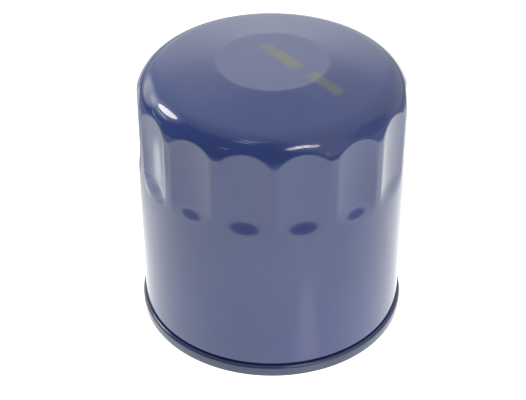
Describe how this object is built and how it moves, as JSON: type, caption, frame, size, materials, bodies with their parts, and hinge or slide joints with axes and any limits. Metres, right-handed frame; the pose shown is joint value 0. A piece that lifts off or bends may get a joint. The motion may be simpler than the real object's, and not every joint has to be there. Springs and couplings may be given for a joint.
{
  "type": "oil filter",
  "caption": "Spin-on oil filter: painted can with wrench flutes and a domed closed end, sealing gasket and tapped base plate, with its pleated element and valves inside.",
  "frame": {"origin": "centre of the gasket's sealing face, at the bottom of the part", "axes": "+Z along the filter's axis, from the mounting side to the closed end of the can; -Y is the side the picture shows"},
  "size_m": [0.0778, 0.0778, 0.0822],
  "materials": {
    "blue_enamel": "glossy blue-violet enamel over steel",
    "seam_rubber": "dull sealing compound",
    "zinc_steel": "zinc-plated steel",
    "black_rubber": "smooth moulded nitrile rubber",
    "silicone": "satin moulded silicone",
    "tinplate": "bright tinplate",
    "plastisol": "matt cured plastisol",
    "filter_paper": "resin-treated filter paper",
    "pressed_steel": "plain pressed steel",
    "nylon": "satin moulded nylon",
    "spring_steel": "oil-tempered spring wire"
  },
  "bodies": {
    "housing": {"can": "blue_enamel", "seaming_lid": "blue_enamel", "seam_compound": "seam_rubber", "base_plate": "zinc_steel", "gasket": "black_rubber", "lower_end_cap": "tinplate", "lower_potting": "plastisol", "centre_tube": "tinplate", "filter_media": "filter_paper", "media_clip": "tinplate", "upper_potting": "plastisol", "upper_end_cap": "tinplate", "bypass_seat": "pressed_steel", "bypass_cage": "pressed_steel", "bypass_spring": "spring_steel", "element_spring": "spring_steel"},
    "bypass_valve": {"bypass_poppet": "nylon", "bypass_seal": "black_rubber"},
    "anti_drain_flap": {"anti_drain_valve": "silicone"}
  },
  "joints": [
    {"name": "bypass_lift", "type": "slide", "parent": "housing", "child": "bypass_valve", "axis": [0, 0, -1], "range_m": [0, 0.003], "stiffness_N_per_m": 3600, "springref_m": -0.0045, "deforming": ["bypass_spring"]},
    {"name": "anti_drain_lift", "type": "slide", "parent": "housing", "child": "anti_drain_flap", "axis": [0, 0, 1], "range_m": [0, 0.0012], "stiffness_N_per_m": 800, "springref_m": -0.0005, "deforming": ["anti_drain_valve"]}
  ]
}
